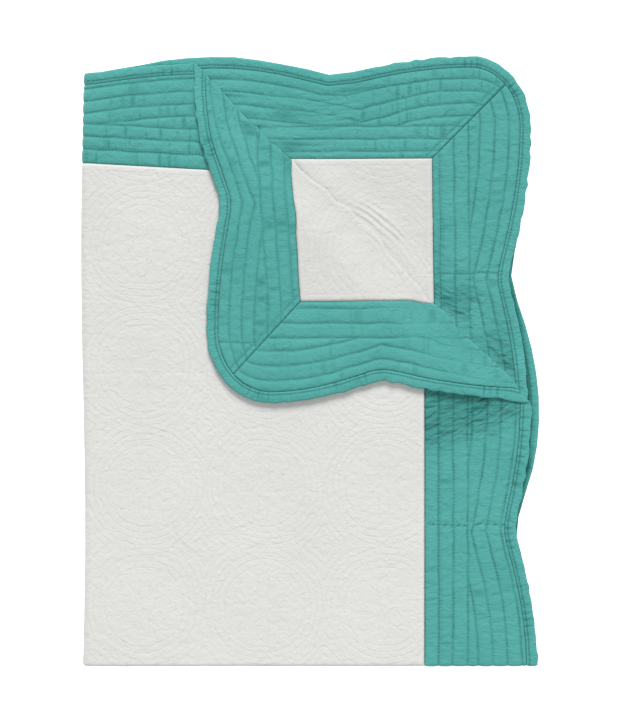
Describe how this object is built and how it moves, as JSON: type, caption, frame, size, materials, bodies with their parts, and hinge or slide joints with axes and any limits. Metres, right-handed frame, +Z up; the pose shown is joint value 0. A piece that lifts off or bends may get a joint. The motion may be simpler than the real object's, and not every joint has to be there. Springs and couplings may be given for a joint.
{
  "type": "baby quilt",
  "caption": "Baby quilt with a white quilted centre and a scalloped teal border, folded in quarters with one corner of the top layer turned back.",
  "frame": {"origin": "middle of the folded quilt's foot, on the surface that it lies on", "axes": "+Z up from the surface, +Y from the fold across the quilt's middle towards its free ends, +X from the fold along its middle towards its free sides"},
  "size_m": [0.4572, 0.6096, 0.0214],
  "materials": {
    "white_cotton": "soft white quilted cotton, matte",
    "teal_cotton": "teal plain-woven cotton with sewn channels, matte",
    "teal_binding": "teal plain-woven cotton binding, matte"
  },
  "bodies": {
    "root": {"centre_panel": "white_cotton", "border_top": "teal_cotton", "border_right": "teal_cotton", "border_bottom": "teal_cotton", "border_left": "teal_cotton", "binding": "teal_binding"}
  },
  "joints": []
}
